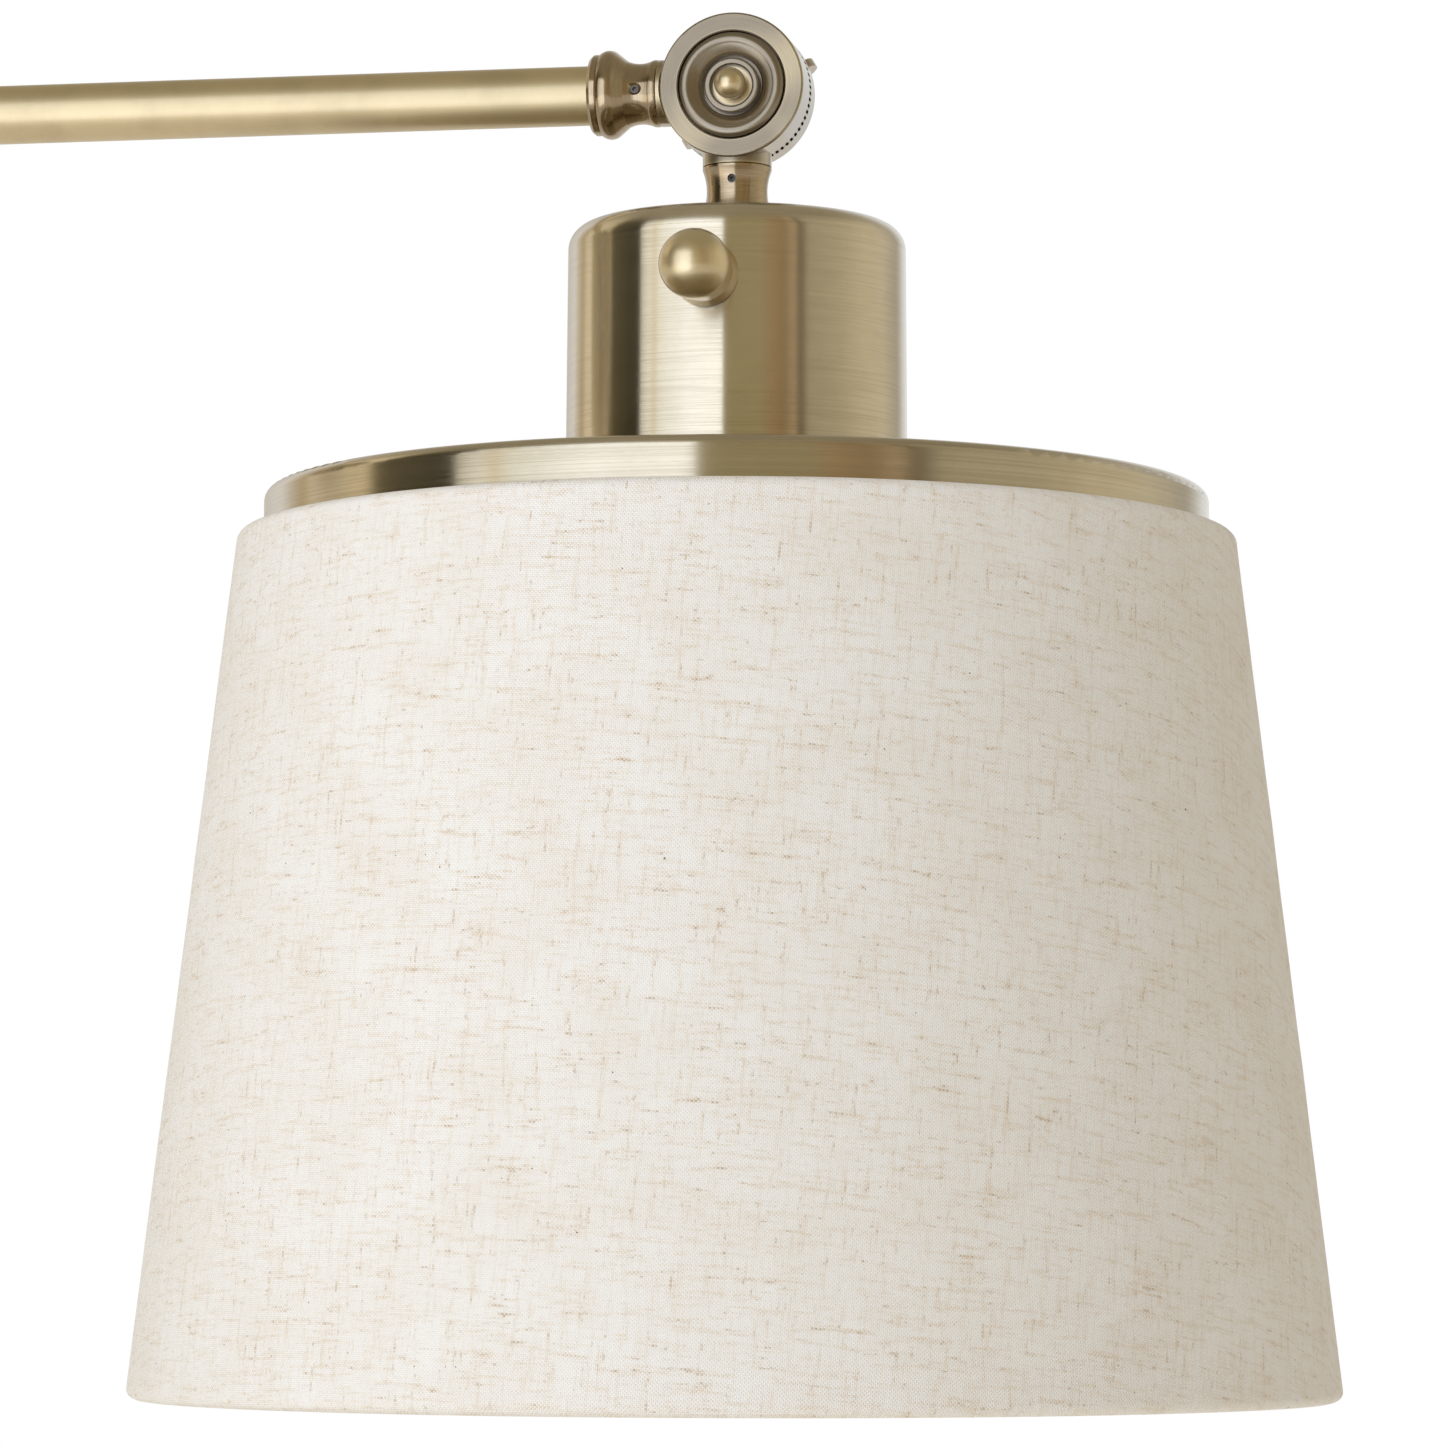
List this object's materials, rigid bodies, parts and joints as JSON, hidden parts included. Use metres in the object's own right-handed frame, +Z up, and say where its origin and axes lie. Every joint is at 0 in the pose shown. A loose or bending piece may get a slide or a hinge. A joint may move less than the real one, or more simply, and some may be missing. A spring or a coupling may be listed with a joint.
{
  "type": "swing arm wall sconce",
  "caption": "Wall lamp with a round plate, a straight tube arm between two toothed clamp knuckles, a socket cup with a turn switch, and a tapered linen drum shade under a shallow metal lid.",
  "frame": {"origin": "centre of the wall plate's back face, at the height of the arm's centreline", "axes": "+X out of the wall along the arm at rest, +Z up, -Y towards the side with the switch knob"},
  "size_m": [0.4381, 0.2536, 0.337],
  "materials": {
    "antique_brass": "antique brass plate, brushed and lacquered, satin",
    "raw_brass": "bright unlacquered brass",
    "zinc_steel": "zinc plated steel",
    "linen": "plain weave linen blend, off-white with tan slubs",
    "shade_film": "matt white laminating film",
    "white_wire": "white powder coat on steel wire",
    "phenolic": "moulded black phenolic",
    "black_steel": "blackened steel",
    "earth_green": "green lacquered steel",
    "connector": "orange thermoplastic",
    "lead_insulation": "off-white wire insulation"
  },
  "bodies": {
    "wall": {"wall_plate": "antique_brass", "wall_bracket": "zinc_steel", "ground_screw": "earth_green", "ground_terminal": "zinc_steel", "plate_studs": "zinc_steel", "plate_cap_nuts": "antique_brass", "wall_nipple": "raw_brass", "wall_star_washer": "zinc_steel", "wall_nipple_nut": "zinc_steel", "wire_nuts": "connector", "wall_leads": "lead_insulation", "wall_neck": "antique_brass", "wall_neck_grub_screw": "black_steel", "swing_knuckle_lower": "antique_brass", "swing_bolt": "zinc_steel", "swing_spring_washer": "zinc_steel", "swing_finial_nut": "antique_brass"},
    "swing_lock": {"swing_wing_nut": "antique_brass"},
    "arm": {"swing_knuckle_upper": "antique_brass", "swing_rosette": "antique_brass", "arm_collar_wall": "antique_brass", "arm_tube": "antique_brass", "arm_collar_lamp": "antique_brass", "collar_grub_screws": "black_steel", "arm_leads": "lead_insulation", "tilt_knuckle_rear": "antique_brass", "tilt_bolt": "zinc_steel", "tilt_spring_washer": "zinc_steel", "tilt_finial_nut": "antique_brass"},
    "tilt_lock": {"tilt_wing_nut": "antique_brass"},
    "head": {"tilt_knuckle_front": "antique_brass", "tilt_rosette": "antique_brass", "lamp_neck": "antique_brass", "lamp_neck_grub_screw": "black_steel", "lamp_nipple": "raw_brass", "lamp_star_washer": "zinc_steel", "lamp_nipple_nut": "zinc_steel", "strap_nut": "zinc_steel", "socket_strap": "zinc_steel", "strap_screws": "zinc_steel", "socket_cup": "antique_brass", "shade_cap": "antique_brass", "shade_cap_rim": "antique_brass", "socket_body": "phenolic", "screw_shell": "raw_brass", "centre_contact": "raw_brass", "shade_ring": "phenolic", "shade_hub": "white_wire", "shade_spokes": "white_wire", "shade_top_ring": "white_wire", "shade_bottom_ring": "white_wire", "shade_liner": "shade_film", "shade_fabric": "linen", "rotary_switch": "phenolic", "bush_nut": "antique_brass", "head_leads": "lead_insulation"},
    "knob": {"switch_knob": "antique_brass"}
  },
  "joints": [
    {"name": "arm_swing", "type": "hinge", "parent": "wall", "child": "arm", "pos_m": [0.0513, 0, 0], "axis": [0, 0, 1], "range_deg": [-70, 70]},
    {"name": "swing_lock_turn", "type": "hinge", "parent": "wall", "child": "swing_lock", "pos_m": [0.0513, 0, 0], "axis": [0, 0, -1], "range_deg": [0, 180]},
    {"name": "shade_tilt", "type": "hinge", "parent": "arm", "child": "head", "pos_m": [0.3113, 0, 0], "axis": [0, -1, 0], "range_deg": [-25, 90]},
    {"name": "tilt_lock_turn", "type": "hinge", "parent": "arm", "child": "tilt_lock", "pos_m": [0.3113, 0, 0], "axis": [0, 1, 0], "range_deg": [0, 180]},
    {"name": "switch_turn", "type": "hinge", "parent": "head", "child": "knob", "pos_m": [0.3113, -0.04, -0.0451], "axis": [0, 1, 0], "continuous": true}
  ]
}
